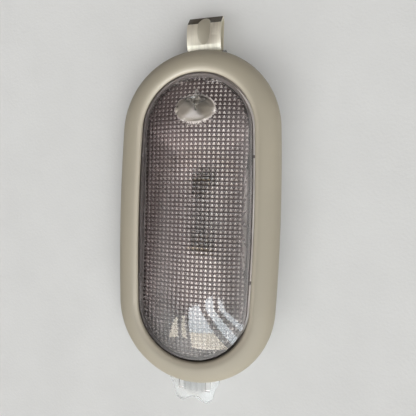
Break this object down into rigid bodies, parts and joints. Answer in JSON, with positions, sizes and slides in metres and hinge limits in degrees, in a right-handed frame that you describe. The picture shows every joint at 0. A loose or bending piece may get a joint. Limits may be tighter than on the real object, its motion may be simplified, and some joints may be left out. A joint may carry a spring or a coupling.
{
  "type": "car dome light",
  "caption": "Oval interior roof light with a moulded bezel, a crowned clear lens that is pressed to switch, a steel spring clip at one end and a locating tongue at the other.",
  "frame": {"origin": "middle of the bezel's rear rim, which seats on the headliner", "axes": "+Z out of the lens into the cabin, +Y along the light towards the spring clip, +X across it"},
  "size_m": [0.082, 0.197, 0.0273],
  "materials": {
    "bezel_plastic": "fine grained, warm grey",
    "lens_plastic": "clear with a light smoky tint and pillow optics inside",
    "carrier_plastic": "clear and colourless",
    "reflector_metal": "satin",
    "bulb_glass": "clear",
    "filament_metal": "dull",
    "cap_metal": "nickel plated",
    "contact_brass": "satin",
    "switch_plastic": "black moulded",
    "plunger_plastic": "smooth off-white",
    "spring_steel": "drawn wire",
    "terminal_metal": "tin plated",
    "clip_steel": "passivated, faint straw tint",
    "rivet_metal": "satin",
    "screw_metal": "zinc plated"
  },
  "bodies": {
    "housing": {"bezel": "bezel_plastic", "carrier": "carrier_plastic", "reflector": "reflector_metal", "bulb_glass": "bulb_glass", "bulb_filament": "filament_metal", "bulb_cap_upper": "cap_metal", "bulb_cap_lower": "cap_metal", "contact_supply": "contact_brass", "contact_earth": "contact_brass", "switch_housing": "switch_plastic", "switch_cover": "switch_plastic", "switch_spring": "spring_steel", "terminal_supply": "terminal_metal", "terminal_earth": "terminal_metal", "terminal_door": "terminal_metal", "retaining_clip": "clip_steel", "clip_rivets": "rivet_metal", "switch_screws": "screw_metal"},
    "lens": {"lens": "lens_plastic"},
    "plunger": {"switch_plunger": "plunger_plastic", "switch_bridge": "contact_brass"}
  },
  "joints": [
    {"name": "lens_rock", "type": "hinge", "parent": "housing", "child": "lens", "pos_m": [0, -0.058, 0.0005], "axis": [-1, 0, 0], "range_deg": [0, 1.5], "stiffness_Nm_per_rad": 8.4, "springref_deg": -0.82},
    {"name": "plunger_slide", "type": "slide", "parent": "housing", "child": "plunger", "axis": [0, 0, -1], "range_m": [0, 0.003], "deforming": ["switch_spring"]}
  ],
  "couplings": [
    {"joint": "plunger_slide", "follows": "lens_rock", "m_per_rad": 0.114}
  ]
}
